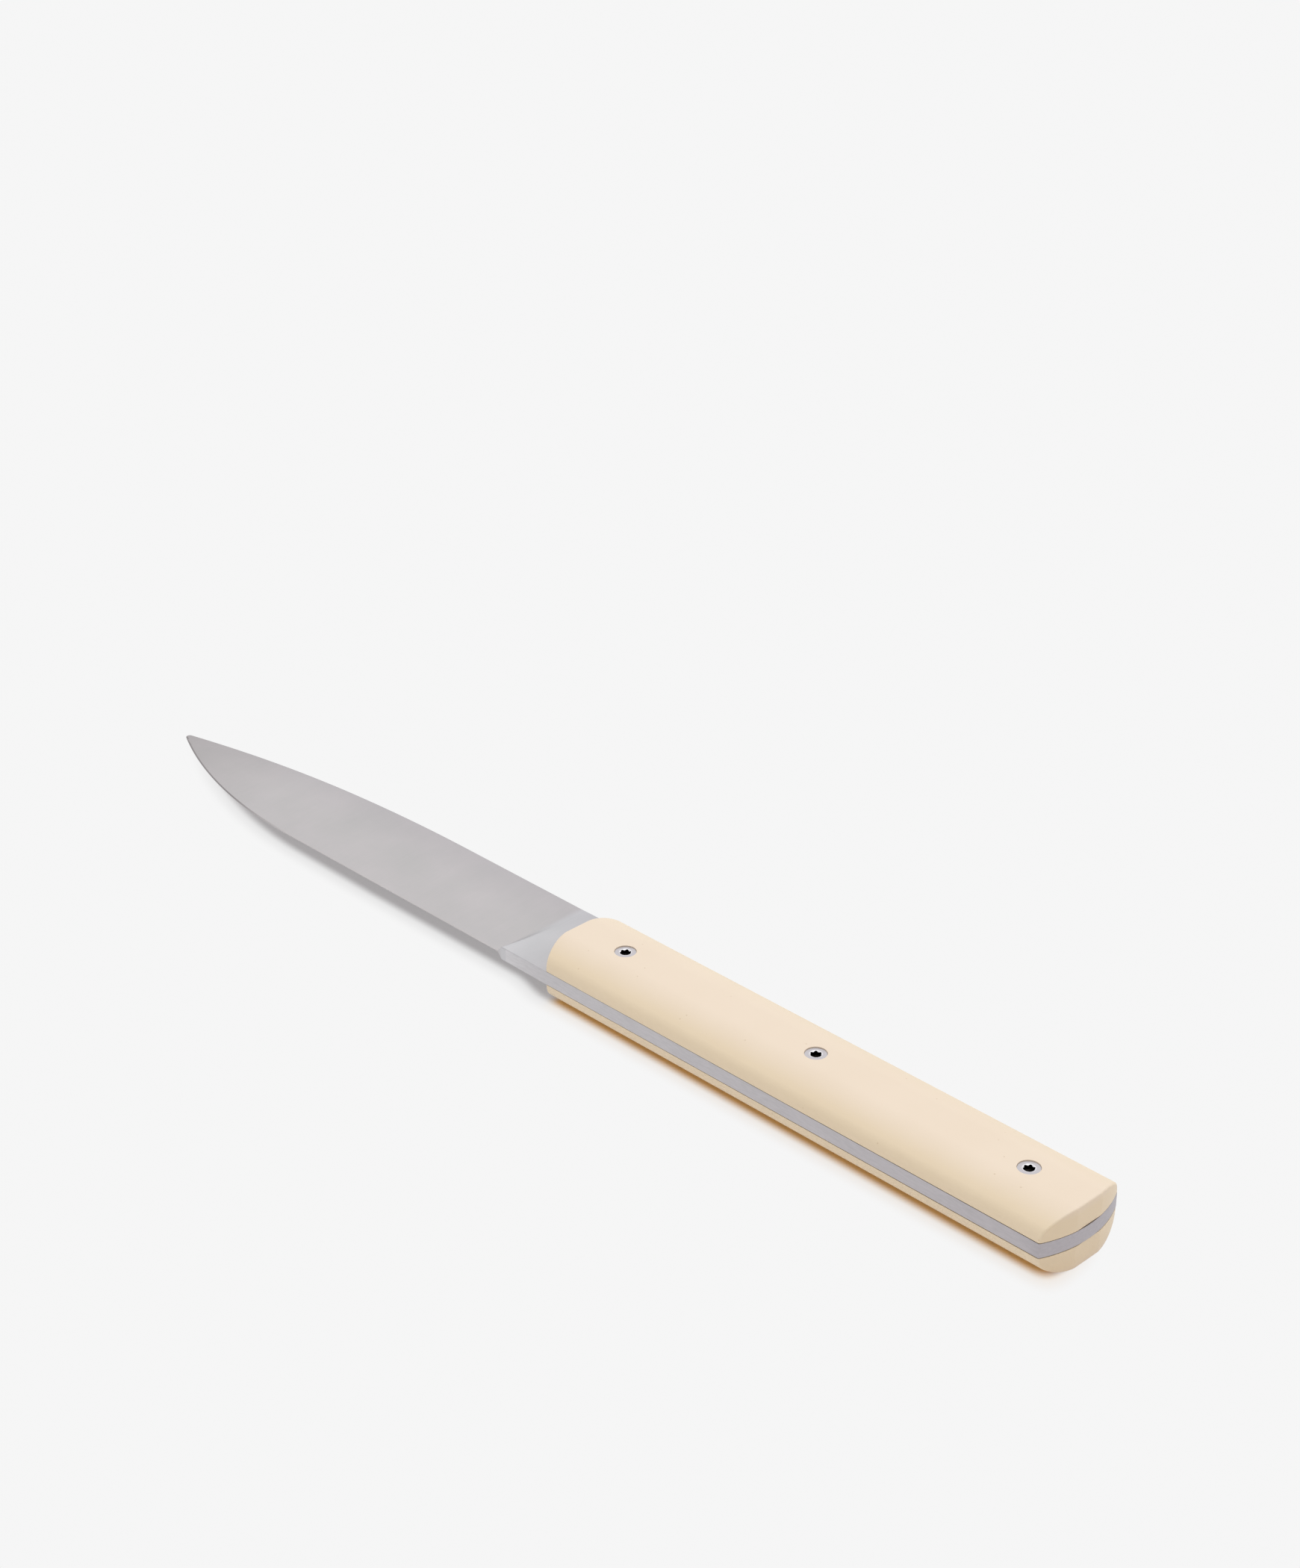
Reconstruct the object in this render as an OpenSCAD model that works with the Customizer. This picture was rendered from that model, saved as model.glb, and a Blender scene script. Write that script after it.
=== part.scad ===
// Table knife: one flat steel blank with a full tang, and two domed scales held by screws from both sides.
// All sizes are in millimetres. The knife lies on its lower scale.
// X runs from the point to the butt, Y from the cutting edge to the spine, and Z up.

/* [Steel blank] */
// Thickness of the steel through the ricasso and the tang
steel_t = 2.5; // [2:0.1:3.5]
// Width of the ricasso, the tang and the handle
knife_w = 17.8; // [15:0.1:21]
// Length from the front corners of the handle to the point before it is rounded
blade_l = 110.8; // [95:0.1:130]
// Height of the point above the straight cutting edge
point_h = 10.5; // [8:0.1:13]
// Radius of the curved part of the cutting edge
edge_r = 92; // [70:1:140]
// Radius of the curved part of the spine
spine_r = 350; // [250:5:600]
// Radius that rounds the point
point_r = 0.6; // [0.4:0.05:1.2]
// Length of the unground ricasso in front of the handle's front corners
ricasso_l = 10.6; // [6:0.1:16]
// Thickness left at the straight cutting edge
edge_t = 0.15; // [0.1:0.01:0.3]
// Thickness left at the point
point_t = 0.1; // [0.06:0.01:0.2]
// Depth of the step between the ricasso and the ground face, measured at the spine
plunge_step = 0.05; // [0.02:0.01:0.15]

/* [Scales] */
// Length of the handle along its straight sides, from corner to corner
handle_l = 102.4; // [85:0.1:120]
// Radius of the arc at each end of the handle, seen from above
end_r = 20; // [14:0.5:40]
// Thickness of a scale at its crown
scale_t = 4.1; // [3.4:0.1:6]
// Height of the upright wall beside the tang, below the shoulder
side_wall = 0.25; // [0.1:0.05:0.8]
// Radius of the shoulder that follows the wall
shoulder_r = 2.7; // [2:0.1:3.2]
// Width of the flat land along the crown, where the heads sit and the knife rests
land_w = 5.2; // [4.4:0.1:7]

/* [Screws] */
// Distance of the outer screws from the corners of the handle
screw_inset = 9.4; // [7:0.1:20]
// Diameter of a screw head
head_d = 3.55; // [3.2:0.05:4]
// Depth of a head below the land
head_sink = 0.2; // [0.1:0.05:0.4]
// Height of the straight rim of a head above its cone
head_rim = 0.3; // [0.15:0.05:0.5]
// Diameter of the screw thread
shank_d = 2; // [1.6:0.1:2.3]
// Space between the tips of two screws that meet in one sleeve
tip_gap = 0.4; // [0.2:0.1:1]
// Width of the six-lobe socket across its lobes
socket_d = 1.75; // [1.4:0.05:1.9]
// Width of the six-lobe socket across its flutes
socket_root_d = 1.27; // [1.05:0.01:1.35]
// Depth of the socket
socket_depth = 0.8; // [0.5:0.05:1]
// Diameter of the chamfer at the socket's mouth
mouth_d = 2.05; // [2:0.05:2.6]
// Full angle of that chamfer, in degrees
mouth_angle = 90; // [90:5:140]

/* [Sleeves] */
// Outer diameter of the threaded sleeve that passes through the tang
sleeve_d = 3.2; // [2.8:0.1:3.8]
// Length of a sleeve that stands in each scale
sleeve_reach = 1.5; // [0.8:0.1:1.7]

/* [Clearances] */
// Radial clearance between a head's rim and its hole
head_clear = 0.05; // [0.02:0.01:0.15]
// Radial clearance between the thread and its hole in a scale
shank_clear = 0.1; // [0.05:0.01:0.2]
// Radial clearance between the thread and the sleeve
thread_clear = 0.02; // [0.01:0.01:0.05]
// Radial clearance around a sleeve, in the tang and in the scales
sleeve_clear = 0.03; // [0.01:0.01:0.1]
// Space between the end of a sleeve and the bottom of its pocket
pocket_clear = 0.1; // [0.05:0.05:0.2]

/* [Hidden] */
$fn = 96;
// steps round the large circles of the blade
blade_steps = 720;
steel_colour = [0.72, 0.72, 0.73];
scale_colour = [0.93, 0.88, 0.79];
screw_colour = [0.62, 0.62, 0.64];
half_w = knife_w / 2;
half_t = steel_t / 2;
// how far a cutting body reaches past the face that it opens
past = 1;
// arcs stand this far proud of what they run into, so that both cross and don't only touch
lap = 0.003;
// the arcs at the ends of the handle
end_rise = end_r - sqrt(end_r * end_r - half_w * half_w);
front_arc_x = end_r - end_rise;
rear_arc_x = handle_l - front_arc_x;
// the two arcs that meet at the point, each tangent to its straight side
spine_drop = knife_w - point_h;
edge_centre = [-blade_l + sqrt(2 * edge_r * point_h - point_h * point_h), edge_r - half_w];
spine_centre = [-blade_l + sqrt(2 * spine_r * spine_drop - spine_drop * spine_drop), half_w - spine_r];
point = [-blade_l, point_h - half_w];
// the circle that rounds the point lies inside both arcs and touches each of them
edge_reach = edge_r - point_r;
spine_reach = spine_r - point_r;
centre_line = spine_centre - edge_centre;
centre_gap = norm(centre_line);
along = (edge_reach * edge_reach - spine_reach * spine_reach + centre_gap * centre_gap) / (2 * centre_gap);
across = sqrt(edge_reach * edge_reach - along * along);
line_way = centre_line / centre_gap;
side_way = [line_way[1], -line_way[0]];
point_centre = edge_centre + along * line_way + across * side_way;
edge_touch = edge_centre + (point_centre - edge_centre) * edge_r / edge_reach;
spine_touch = spine_centre + (point_centre - spine_centre) * spine_r / spine_reach;
// the ground faces rise from the edge to the spine at one slope
grind_rise = (half_t - plunge_step - edge_t / 2) / knife_w;
edge_offset = edge_t / 2 / grind_rise;
point_offset = point_t / 2 / grind_rise;
// the cone's axis stands a little behind the arc's centre, so cone and flat cross at a clear angle
cone_shift = 3;
cone_centre = edge_centre + [cone_shift, 0];
cone_r = norm(point - cone_centre) + point_offset;
// angle by which the ground cone goes past the point and past the deepest place of the edge
cone_margin = 6;
// the domed section of a scale: wall, shoulder arc, flank arc and flat land, each tangent to the next
half_land = land_w / 2;
flank_run = half_w - shoulder_r - half_land;
flank_rise = scale_t - side_wall;
flank_r = (flank_run * flank_run + flank_rise * flank_rise - shoulder_r * shoulder_r)
    / (2 * (flank_rise - shoulder_r));
// places of the screws and the seat of the whole knife
screw_places = [screw_inset, handle_l / 2, handle_l - screw_inset];
crown_h = half_t + scale_t;
head_cone = (head_d - shank_d) / 2;
screw_l = crown_h - head_sink - tip_gap / 2;
sleeve_l = steel_t + 2 * sleeve_reach;
rear_end = handle_l + end_rise;
front_end = point_centre[0] - point_r;
seat = [-(front_end + rear_end) / 2, 0, crown_h];

// Outline of the whole blank, seen from above, as the space that all its bounds share
module blank_outline() {
    long = rear_end - front_end + 2 * past;
    touch_line = spine_touch - edge_touch;
    back_way = [touch_line[1], -touch_line[0]] / norm(touch_line) * long;
    intersection() {
        translate([front_end - past, -half_w]) square([long, knife_w]);
        union() {
            translate(edge_centre - [0, lap]) circle(r = edge_r, $fn = blade_steps);
            translate([edge_centre[0], -knife_w]) square([long, 2 * knife_w]);
        }
        union() {
            translate(spine_centre + [0, lap]) circle(r = spine_r, $fn = blade_steps);
            translate([spine_centre[0], -knife_w]) square([long, 2 * knife_w]);
        }
        union() {
            translate(point_centre) circle(r = point_r + 2 * lap);
            polygon([
                edge_touch - touch_line * long, edge_touch - touch_line * long + back_way,
                spine_touch + touch_line * long + back_way, spine_touch + touch_line * long
            ]);
        }
        union() {
            translate([rear_arc_x, 0]) circle(r = end_r);
            translate([rear_arc_x - long, -knife_w / 2 - past]) square([long, knife_w + 2 * past]);
        }
    }
}

// Space between the two end arcs of the handle, a little wider than the handle itself
module end_space() {
    translate([rear_arc_x, 0]) circle(r = end_r);
    translate([front_arc_x, 0]) circle(r = end_r);
    translate([front_arc_x, -half_w - past]) square([rear_arc_x - front_arc_x, knife_w + 2 * past]);
}

// Section of a scale across the handle, standing on the tang
module scale_section() {
    flank_z = scale_t - flank_r + lap;
    shoulder = [half_w - shoulder_r + lap, side_wall + 2 * lap];
    joint_way = (shoulder - [half_land, flank_z]) / norm(shoulder - [half_land, flank_z]);
    reach = 2 * shoulder_r;
    difference() {
        intersection() {
            translate([-half_w, 0]) square([knife_w, scale_t]);
            union() {
                translate([half_land, flank_z]) circle(r = flank_r);
                translate([half_land - 2 * knife_w, -flank_r]) square([2 * knife_w, 3 * flank_r]);
            }
            union() {
                translate([-half_land, flank_z]) circle(r = flank_r);
                translate([-half_land, -flank_r]) square([2 * knife_w, 3 * flank_r]);
            }
        }
        for (side = [-1, 1]) difference() {
            polygon([
                [side * shoulder[0], shoulder[1]],
                [side * (shoulder[0] + reach), shoulder[1]],
                [side * (shoulder[0] + reach), shoulder[1] + reach],
                [side * (shoulder[0] + reach * joint_way[0]), shoulder[1] + reach * joint_way[1]]
            ]);
            translate([side * shoulder[0], shoulder[1]]) circle(r = shoulder_r);
        }
    }
}

// What the grinding takes off the upper side: flat along the straight edge, conical along the curve
module ground_off() {
    low_y = -half_w - past;
    high_y = half_w + past;
    low_z = grind_rise * (edge_offset - past);
    high_z = grind_rise * (knife_w + edge_offset + past);
    translate([front_end - past, 0, 0]) rotate([90, 0, 90])
        linear_extrude(height = -ricasso_l - front_end + past)
            polygon([[low_y, low_z], [high_y, high_z], [high_y, steel_t + high_z], [low_y, steel_t + high_z]]);
    point_way = point - cone_centre;
    first_angle = atan2(point_way[1], point_way[0]) - cone_margin;
    last_angle = cone_margin - 90;
    translate([cone_centre[0], cone_centre[1], 0]) rotate(first_angle)
        rotate_extrude(angle = last_angle - first_angle, $fn = blade_steps)
            polygon([
                [cone_r - steel_t / grind_rise, steel_t], [cone_r + past, -past * grind_rise],
                [cone_r + past, steel_t]
            ]);
}

// Hole through a scale for a screw and the end of its sleeve, with the tang face at height zero
module screw_hole() {
    rim_r = head_d / 2 + head_clear;
    pass_r = shank_d / 2 + shank_clear;
    pocket_r = sleeve_d / 2 + sleeve_clear;
    pocket_top = sleeve_reach + pocket_clear;
    cone_z = scale_t - head_sink - head_rim;
    rotate_extrude() polygon([
        [0, -past], [pocket_r, -past], [pocket_r, pocket_top], [pass_r, pocket_top],
        [pass_r, cone_z - head_d / 2 + pass_r], [rim_r, cone_z + head_clear],
        [rim_r, scale_t + past], [0, scale_t + past]
    ]);
}

module steel_blank_shape() {
    difference() {
        translate([0, 0, -half_t]) linear_extrude(height = steel_t) blank_outline();
        ground_off();
        mirror([0, 0, 1]) ground_off();
        for (place = screw_places) translate([place, 0, -steel_t])
            cylinder(r = sleeve_d / 2 + sleeve_clear, h = 2 * steel_t);
    }
}

// A scale with its flat face on the upper side of the tang
module scale_shape() {
    translate([0, 0, half_t]) difference() {
        intersection() {
            translate([-end_rise - past, 0, 0]) rotate([90, 0, 90])
                linear_extrude(height = rear_end + end_rise + 2 * past) scale_section();
            translate([0, 0, -past]) linear_extrude(height = scale_t + 2 * past) end_space();
        }
        for (place = screw_places) translate([place, 0, 0]) screw_hole();
    }
}

module sleeve_shape() {
    difference() {
        cylinder(d = sleeve_d, h = sleeve_l, center = true);
        cylinder(r = shank_d / 2 + thread_clear, h = sleeve_l + 2 * past, center = true);
    }
}

// Outline of the six-lobe socket
module socket_outline() {
    lobes = 6;
    flute_d = 0.41 * socket_d;
    difference() {
        circle(d = socket_d);
        for (lobe = [1 : lobes]) rotate((lobe - 0.5) * 360 / lobes)
            translate([(socket_root_d + flute_d) / 2, 0]) circle(d = flute_d);
    }
}

// A screw of the upper side, in place above the middle of the tang
module screw_shape() {
    mouth_depth = (mouth_d - socket_root_d) / 2 / tan(mouth_angle / 2);
    translate([0, 0, crown_h - head_sink]) difference() {
        rotate_extrude() polygon([
            [0, 0], [head_d / 2, 0], [head_d / 2, -head_rim], [shank_d / 2, -head_rim - head_cone],
            [shank_d / 2, -screw_l], [0, -screw_l]
        ]);
        translate([0, 0, -socket_depth]) linear_extrude(height = socket_depth + past) socket_outline();
        translate([0, 0, -mouth_depth]) cylinder(d1 = socket_root_d, d2 = mouth_d, h = mouth_depth);
    }
}

module on_seat() translate(seat) children();

module at_screw(index) on_seat() translate([screw_places[index], 0, 0]) children();

module steel_blank() color(steel_colour) on_seat() steel_blank_shape();
module upper_scale() color(scale_colour) on_seat() scale_shape();
module lower_scale() color(scale_colour) on_seat() mirror([0, 0, 1]) scale_shape();
module front_sleeve() color(screw_colour) at_screw(0) sleeve_shape();
module middle_sleeve() color(screw_colour) at_screw(1) sleeve_shape();
module rear_sleeve() color(screw_colour) at_screw(2) sleeve_shape();
module front_upper_screw() color(screw_colour) at_screw(0) screw_shape();
module middle_upper_screw() color(screw_colour) at_screw(1) screw_shape();
module rear_upper_screw() color(screw_colour) at_screw(2) screw_shape();
module front_lower_screw() color(screw_colour) at_screw(0) mirror([0, 0, 1]) screw_shape();
module middle_lower_screw() color(screw_colour) at_screw(1) mirror([0, 0, 1]) screw_shape();
module rear_lower_screw() color(screw_colour) at_screw(2) mirror([0, 0, 1]) screw_shape();

steel_blank();
upper_scale();
lower_scale();
front_sleeve();
middle_sleeve();
rear_sleeve();
front_upper_screw();
middle_upper_screw();
rear_upper_screw();
front_lower_screw();
middle_lower_screw();
rear_lower_screw();
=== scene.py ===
# Looks of a table knife: satin ground stainless blade and tang, ivory resin scales and sunk screws
import math

import bmesh
import bpy
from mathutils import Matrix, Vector
from mathutils.geometry import intersect_sphere_sphere_2d


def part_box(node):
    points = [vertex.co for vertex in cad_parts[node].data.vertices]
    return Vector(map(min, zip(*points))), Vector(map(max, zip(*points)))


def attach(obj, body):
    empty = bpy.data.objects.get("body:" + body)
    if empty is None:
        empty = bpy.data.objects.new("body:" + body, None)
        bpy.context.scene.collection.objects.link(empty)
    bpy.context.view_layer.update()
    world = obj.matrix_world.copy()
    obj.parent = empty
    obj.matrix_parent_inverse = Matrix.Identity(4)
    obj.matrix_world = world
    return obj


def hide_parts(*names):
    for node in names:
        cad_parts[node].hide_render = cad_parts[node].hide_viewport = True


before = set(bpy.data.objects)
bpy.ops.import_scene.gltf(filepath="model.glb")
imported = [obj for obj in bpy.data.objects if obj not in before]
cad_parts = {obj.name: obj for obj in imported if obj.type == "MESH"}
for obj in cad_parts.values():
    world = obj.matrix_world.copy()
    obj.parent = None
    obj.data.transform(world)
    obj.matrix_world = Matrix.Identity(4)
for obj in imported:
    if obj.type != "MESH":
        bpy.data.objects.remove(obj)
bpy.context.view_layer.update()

# Shapes are worked out in millimetres, and each finished mesh is brought to metres
MM = 0.001
blank_low, blank_high = (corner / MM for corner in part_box("steel_blank"))
scale_low, scale_high = (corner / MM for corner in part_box("upper_scale"))
TANG_MIDDLE = (blank_low.z + blank_high.z) / 2
HALF_T = (blank_high.z - blank_low.z) / 2
HALF_W = blank_high.y
SCALE_T = scale_high.z - scale_low.z

# Ends of the handle, arcs seen from above
END_R = 20
END_RISE = END_R - math.sqrt(END_R ** 2 - HALF_W ** 2)
HANDLE_FRONT = scale_low.x + END_RISE
FRONT_ARC_X = scale_low.x + END_R
REAR_ARC_X = scale_high.x - END_R

# Blade, seen from above: straight edge and spine that run into arcs, and a rounded point
BLADE_L = 110.8
POINT_H = 10.5
EDGE_R = 92
SPINE_R = 350
POINT_R = 0.6
RICASSO_L = 10.6

# Ground faces: thickness behind the edge, the honed edge itself and the soft plunge at the ricasso
EDGE_T = 0.16
HONED_T = 0.03
HONED_ANGLE = math.radians(17)
PLUNGE_STEP = 0.05
PLUNGE_RUN = 1.3
PLUNGE_LEAN = 0.05
PLUNGE_SPREAD = 0.16
RIM_R = 0.06
RIM_SHARE = 0.4
RICASSO_EDGE_R = 0.2

# Section of a scale and the softening of its edges
SIDE_WALL = 0.25
SHOULDER_R = 2.7
HALF_LAND = 2.6
END_SOFT_R = 0.3
SEAM_GAP = 0.12
SEAM_FRONT = 0.3
SEAM_DEPTH = 0.25

# Screws, with the six-lobe socket, and their holes
HEAD_SINK = 0.15
HEAD_RIM = 0.3
HEAD_SOFT = 0.03
SHANK_R = 1
SOCKET_R = 0.94
SOCKET_ROOT_R = 0.79
SOCKET_DEPTH = 0.8
MOUTH_R = 0.95
MOUTH_ANGLE = 45
MOUTH_SLOPE = math.tan(math.radians(MOUTH_ANGLE))
MOUTH_LIP = 0.15
LIP_R = MOUTH_R + MOUTH_LIP * math.tan(math.radians(MOUTH_ANGLE / 2))
# Width of the painted highlight on the rim of the socket's mouth
LIP_HIGHLIGHT_W = 0.08
HOLE_CLEAR = 0.03
HOLE_SOFT = 0.05
SLEEVE_R = 1.6
SLEEVE_CLEAR = 0.03
SLEEVE_REACH = 1.6
PASS_R = 1.1
ROUND_STEPS = 64
HOLE_STEPS = 4
HEAD_STEPS = 5
LIP_STEPS = 6

# Distances within which points are merged, and how far a cutter reaches past what it cuts
MERGE = 1e-4
SPIN_MERGE = 1e-5
MIRROR_MERGE = 1e-6
CUT_PAST = 1

# Screws from the point to the butt, with the turn in degrees at which each came to a stop
PLACES = {"front": -4, "middle": 12, "rear": -9}
SIDES = ("upper", "lower")


def screw_place(place):
    low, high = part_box(f"{place}_upper_screw")
    return (low.x + high.x) / 2 / MM


def screw_radius():
    low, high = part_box("front_upper_screw")
    return (high.x - low.x) / 2 / MM


HEAD_R = screw_radius()
SCREW_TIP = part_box("front_upper_screw")[0].z / MM - TANG_MIDDLE


def to_piece(shape, name, materials):
    """Brings a shape in millimetres to metres and links it as a smooth object with sharp creases."""
    crease = math.radians(21)
    bmesh.ops.scale(shape, vec=(MM, MM, MM), verts=shape.verts)
    for face in shape.faces:
        face.smooth = True
    for edge in shape.edges:
        edge.smooth = edge.is_manifold and edge.calc_face_angle() < crease
    mesh = bpy.data.meshes.new(name)
    shape.to_mesh(mesh)
    shape.free()
    for material in materials:
        mesh.materials.append(material)
    piece = bpy.data.objects.new(name, mesh)
    bpy.context.scene.collection.objects.link(piece)
    even = piece.modifiers.new("even_normals", "WEIGHTED_NORMAL")
    even.keep_sharp = True
    return piece


def carve(shape, cutters):
    """Takes the cutters out of a shape. All are in millimetres."""
    holder = bpy.data.objects.new("carved", bpy.data.meshes.new("carved"))
    shape.to_mesh(holder.data)
    shape.free()
    bpy.context.scene.collection.objects.link(holder)
    tools = []
    for cutter in cutters:
        tool = bpy.data.objects.new("cutter", bpy.data.meshes.new("cutter"))
        cutter.to_mesh(tool.data)
        cutter.free()
        bpy.context.scene.collection.objects.link(tool)
        cut = holder.modifiers.new("cut", "BOOLEAN")
        cut.operation = "DIFFERENCE"
        cut.solver = "EXACT"
        cut.object = tool
        tools.append(tool)
    result = bmesh.new()
    result.from_object(holder, bpy.context.evaluated_depsgraph_get())
    for unwanted in [holder, *tools]:
        mesh = unwanted.data
        bpy.data.objects.remove(unwanted)
        bpy.data.meshes.remove(mesh)
    return result


def turned(profile, centre_x):
    """A solid of revolution about an upright axis, from points of radius and height."""
    shape = bmesh.new()
    points = [shape.verts.new((radius, 0, height)) for radius, height in profile]
    edges = [shape.edges.new(pair) for pair in zip(points, points[1:])]
    bmesh.ops.spin(
        shape, geom=points + edges, cent=(0, 0, 0), axis=(0, 0, 1), dvec=(0, 0, 0),
        angle=2 * math.pi, steps=ROUND_STEPS, use_merge=True, use_duplicate=False,
    )
    bmesh.ops.remove_doubles(shape, verts=shape.verts, dist=SPIN_MERGE)
    bmesh.ops.recalc_face_normals(shape, faces=shape.faces)
    bmesh.ops.translate(shape, vec=(centre_x, 0, 0), verts=shape.verts)
    return shape


def quarter_round(centre, radius, start, stop, steps):
    """Points of radius and height along an arc, between two angles in degrees."""
    angles = [math.radians(start + (stop - start) * step / steps) for step in range(steps + 1)]
    return [(centre[0] + radius * math.cos(a), centre[1] + radius * math.sin(a)) for a in angles]


# Blade and tang

EDGE_CENTRE = Vector((
    HANDLE_FRONT - BLADE_L + math.sqrt(2 * EDGE_R * POINT_H - POINT_H ** 2), EDGE_R - HALF_W,
))
SPINE_DROP = 2 * HALF_W - POINT_H
SPINE_CENTRE = Vector((
    HANDLE_FRONT - BLADE_L + math.sqrt(2 * SPINE_R * SPINE_DROP - SPINE_DROP ** 2), HALF_W - SPINE_R,
))
POINT_CENTRE = min(
    intersect_sphere_sphere_2d(EDGE_CENTRE, EDGE_R - POINT_R, SPINE_CENTRE, SPINE_R - POINT_R),
    key=lambda place: place.x if abs(place.y) < HALF_W else math.inf,
)
POINT_X = POINT_CENTRE.x - POINT_R
PLUNGE_STOP = HANDLE_FRONT - RICASSO_L
PLUNGE_START = PLUNGE_STOP - PLUNGE_RUN
PLUNGE_END = PLUNGE_STOP + PLUNGE_LEAN * 2 * HALF_W
GRIND_RISE = (HALF_T - PLUNGE_STEP - EDGE_T / 2) / (2 * HALF_W)
HONED_W = (EDGE_T - HONED_T) / 2 / (math.tan(HONED_ANGLE) - GRIND_RISE)


def arc_height(reach, radius):
    """Height of a circle above its centre, at a distance to one side of the centre."""
    return math.sqrt(max(0, radius ** 2 - reach ** 2))


def edge_line(x):
    line = EDGE_CENTRE.y - arc_height(min(0, x - EDGE_CENTRE.x), EDGE_R)
    if x < POINT_CENTRE.x:
        line = max(line, POINT_CENTRE.y - arc_height(x - POINT_CENTRE.x, POINT_R))
    return line


def spine_line(x):
    line = SPINE_CENTRE.y + arc_height(min(0, x - SPINE_CENTRE.x), SPINE_R)
    if x < POINT_CENTRE.x:
        line = min(line, POINT_CENTRE.y + arc_height(x - POINT_CENTRE.x, POINT_R))
    return line


def butt_line(y):
    return REAR_ARC_X + arc_height(y, END_R)


def eased(share):
    share = min(1, max(0, share))
    return share * share * (3 - 2 * share)


def drop_at_rim(distance, radius):
    """How far a rounded rim lies below its face, at a distance from the rim."""
    inside = max(0, radius - distance)
    return radius - math.sqrt(max(0, radius ** 2 - inside ** 2))


def from_edge(x, y):
    """Distance of a place, seen from above, from the line of the cutting edge."""
    return EDGE_R - (Vector((min(x, EDGE_CENTRE.x), y)) - EDGE_CENTRE).length


def half_thickness(x, y):
    """Half the thickness of the steel at a place seen from above."""
    inside = from_edge(x, y)
    ground = EDGE_T / 2 + GRIND_RISE * inside
    honed = HONED_T / 2 + math.tan(HONED_ANGLE) * max(0, inside)
    run = PLUNGE_RUN + PLUNGE_SPREAD * max(0, inside)
    plunge = eased((x - PLUNGE_START - PLUNGE_LEAN * max(0, inside)) / run)
    thick = min(ground, honed) * (1 - plunge) + HALF_T * plunge
    rim = min(RIM_R, RIM_SHARE * thick)
    drop = drop_at_rim(spine_line(x) - y, rim)
    soft = RICASSO_EDGE_R + (RIM_R - RICASSO_EDGE_R) * eased((x - PLUNGE_END) / (HANDLE_FRONT - PLUNGE_END))
    drop = max(drop, drop_at_rim(y - edge_line(x), soft * plunge) if plunge > 0 else 0)
    drop = max(drop, drop_at_rim(butt_line(y) - x, rim))
    return thick - drop


# Places of the mesh rows beside the honed edge, the spine and the butt, and how many lie between them
EDGE_ROWS = (0, 0.02, 0.06, 0.13, 0.22, 0.27, 0.33, 0.8)
SPINE_ROWS = (0, 0.015, 0.05, 0.1, 0.2, 0.8)
BUTT_ROWS = (0, 0.015, 0.05, 0.1, 0.2, 0.8)
BLADE_ROWS = 16
BLADE_STATIONS = 90
PLUNGE_STATIONS = 40
RICASSO_STATIONS = 12
TANG_STATIONS = 6


def row_place(row, x):
    """Place across the steel: close rows beside the edge and the spine, and even ones between them."""
    low, high = edge_line(x), spine_line(x)
    squeeze = min(1, (high - low) / (2 * (EDGE_ROWS[-1] + SPINE_ROWS[-1])))
    if row < len(EDGE_ROWS):
        return low + EDGE_ROWS[row] * squeeze
    row -= len(EDGE_ROWS)
    if row >= BLADE_ROWS:
        return high - SPINE_ROWS[len(SPINE_ROWS) - 1 - (row - BLADE_ROWS)] * squeeze
    first, last = low + EDGE_ROWS[-1] * squeeze, high - SPINE_ROWS[-1] * squeeze
    return first + (last - first) * (row + 1) / (BLADE_ROWS + 1)


def station_place(station, y):
    """Place along the steel: closer towards the point, even in the plunge and close again at the butt."""
    if station < BLADE_STATIONS:
        return POINT_X + (PLUNGE_START - POINT_X) * (station / BLADE_STATIONS) ** 2
    station -= BLADE_STATIONS
    if station < PLUNGE_STATIONS:
        return PLUNGE_START + (PLUNGE_END - PLUNGE_START) * station / PLUNGE_STATIONS
    station -= PLUNGE_STATIONS
    if station < RICASSO_STATIONS:
        return PLUNGE_END + (HANDLE_FRONT - PLUNGE_END) * station / RICASSO_STATIONS
    station -= RICASSO_STATIONS
    if station < TANG_STATIONS:
        return HANDLE_FRONT + (butt_line(y) - BUTT_ROWS[-1] - HANDLE_FRONT) * station / TANG_STATIONS
    return butt_line(y) - BUTT_ROWS[len(BUTT_ROWS) - 1 - (station - TANG_STATIONS)]


def grid(shape, columns, rows):
    """A sheet of vertices to be put in place, each with the number of its column and its row."""
    made = bmesh.ops.create_grid(shape, x_segments=columns - 1, y_segments=rows - 1, size=0.5)
    for vert in made["verts"]:
        yield vert, round((vert.co.x + 0.5) * (columns - 1)), round((vert.co.y + 0.5) * (rows - 1))


# Faces of the steel that are finished in another way, by the number of their material
RIM = 1
HONED = 2
RIM_TURN = 0.6


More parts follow.
